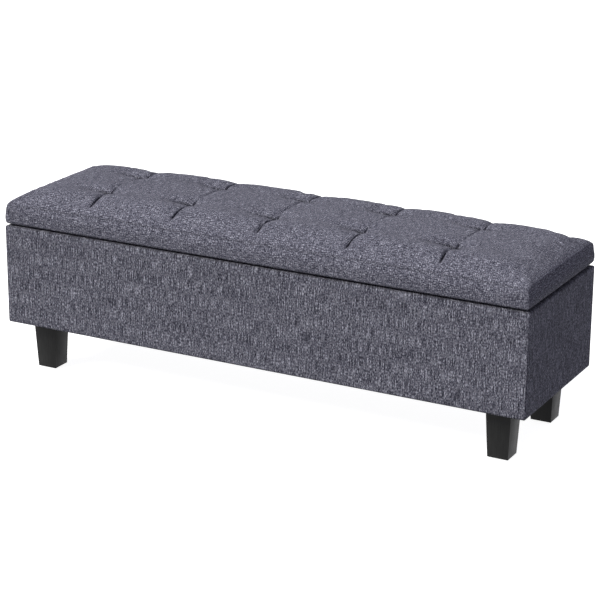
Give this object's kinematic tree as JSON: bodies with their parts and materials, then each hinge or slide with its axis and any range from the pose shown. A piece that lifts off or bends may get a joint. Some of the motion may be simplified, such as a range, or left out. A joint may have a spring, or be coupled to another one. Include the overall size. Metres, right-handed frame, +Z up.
{
  "type": "storage bench",
  "caption": "Long upholstered storage bench: fabric-covered box on short tapered legs, with a tufted padded lid that swings up on rear hinges and folding stays.",
  "frame": {"origin": "on the floor, under the middle of the bench", "axes": "+X along the bench to the right as seen from the front, -Y towards the front, +Z up"},
  "size_m": [1.28, 0.37, 0.43],
  "materials": {
    "fabric": "matte",
    "lining_cloth": "matte",
    "plywood": "matte",
    "softwood": "matte",
    "foam": "matte",
    "black_wood": "satin",
    "zinc_steel": "satin",
    "glide_plastic": "matte",
    "twine": "matte",
    "bumper_rubber": "matte"
  },
  "bodies": {
    "box": {"back_cleat": "softwood", "back_cover": "fabric", "back_panel": "plywood", "bottom_panel": "plywood", "bumper_left": "bumper_rubber", "bumper_right": "bumper_rubber", "dust_cover": "lining_cloth", "front_cleat": "softwood", "front_cover": "fabric", "front_panel": "plywood", "hinge_body_leaf_left": "zinc_steel", "hinge_body_leaf_right": "zinc_steel", "hinge_pin_left": "zinc_steel", "hinge_pin_right": "zinc_steel", "left_end_cover": "fabric", "left_end_panel": "plywood", "leg_back_left": "black_wood", "leg_back_right": "black_wood", "leg_block_back_left": "softwood", "leg_block_back_right": "softwood", "leg_block_front_left": "softwood", "leg_block_front_right": "softwood", "leg_bolt_back_left": "zinc_steel", "leg_bolt_back_right": "zinc_steel", "leg_bolt_front_left": "zinc_steel", "leg_bolt_front_right": "zinc_steel", "leg_front_left": "black_wood", "leg_front_right": "black_wood", "leg_glide_back_left": "glide_plastic", "leg_glide_back_right": "glide_plastic", "leg_glide_front_left": "glide_plastic", "leg_glide_front_right": "glide_plastic", "right_end_cover": "fabric", "right_end_panel": "plywood", "stay_body_bracket_left": "zinc_steel", "stay_body_bracket_right": "zinc_steel", "storage_lining": "lining_cloth"},
    "lid": {"hinge_lid_leaf_left": "zinc_steel", "hinge_lid_leaf_right": "zinc_steel", "lid_board": "plywood", "lid_cover": "fabric", "lid_foam": "foam", "lid_lining": "lining_cloth", "stay_lid_bracket_left": "zinc_steel", "stay_lid_bracket_right": "zinc_steel", "tuft_twine_back_1": "twine", "tuft_twine_back_2": "twine", "tuft_twine_back_3": "twine", "tuft_twine_back_4": "twine", "tuft_twine_back_5": "twine", "tuft_twine_front_1": "twine", "tuft_twine_front_2": "twine", "tuft_twine_front_3": "twine", "tuft_twine_front_4": "twine", "tuft_twine_front_5": "twine"},
    "stay_lower_arm_left": {"stay_lower_arm_left": "zinc_steel"},
    "stay_lower_arm_right": {"stay_lower_arm_right": "zinc_steel"},
    "stay_upper_arm_left": {"stay_upper_arm_left": "zinc_steel"},
    "stay_upper_arm_right": {"stay_upper_arm_right": "zinc_steel"}
  },
  "joints": [
    {"name": "lid_hinge", "type": "hinge", "parent": "box", "child": "lid", "pos_m": [0, 0.1825, 0.348], "axis": [-1, 0, 0], "range_deg": [0, 95]},
    {"name": "stay_lower_pivot_left", "type": "hinge", "parent": "box", "child": "stay_lower_arm_left", "pos_m": [-0.6135, 0.143, 0.258], "axis": [-1, 0, 0], "range_deg": [0, 95]},
    {"name": "stay_knee_left", "type": "hinge", "parent": "stay_lower_arm_left", "child": "stay_upper_arm_left", "pos_m": [-0.6105, -0.007, 0.244], "axis": [-1, 0, 0], "range_deg": [-95, 0]},
    {"name": "stay_lower_pivot_right", "type": "hinge", "parent": "box", "child": "stay_lower_arm_right", "pos_m": [0.6135, 0.143, 0.258], "axis": [-1, 0, 0], "range_deg": [0, 95]},
    {"name": "stay_knee_right", "type": "hinge", "parent": "stay_lower_arm_right", "child": "stay_upper_arm_right", "pos_m": [0.6105, -0.007, 0.244], "axis": [-1, 0, 0], "range_deg": [-95, 0]}
  ],
  "couplings": [
    {"joint": "stay_lower_pivot_left", "follows": "lid_hinge", "ratio": 1},
    {"joint": "stay_knee_left", "follows": "lid_hinge", "ratio": -1},
    {"joint": "stay_lower_pivot_right", "follows": "lid_hinge", "ratio": 1},
    {"joint": "stay_knee_right", "follows": "lid_hinge", "ratio": -1}
  ]
}
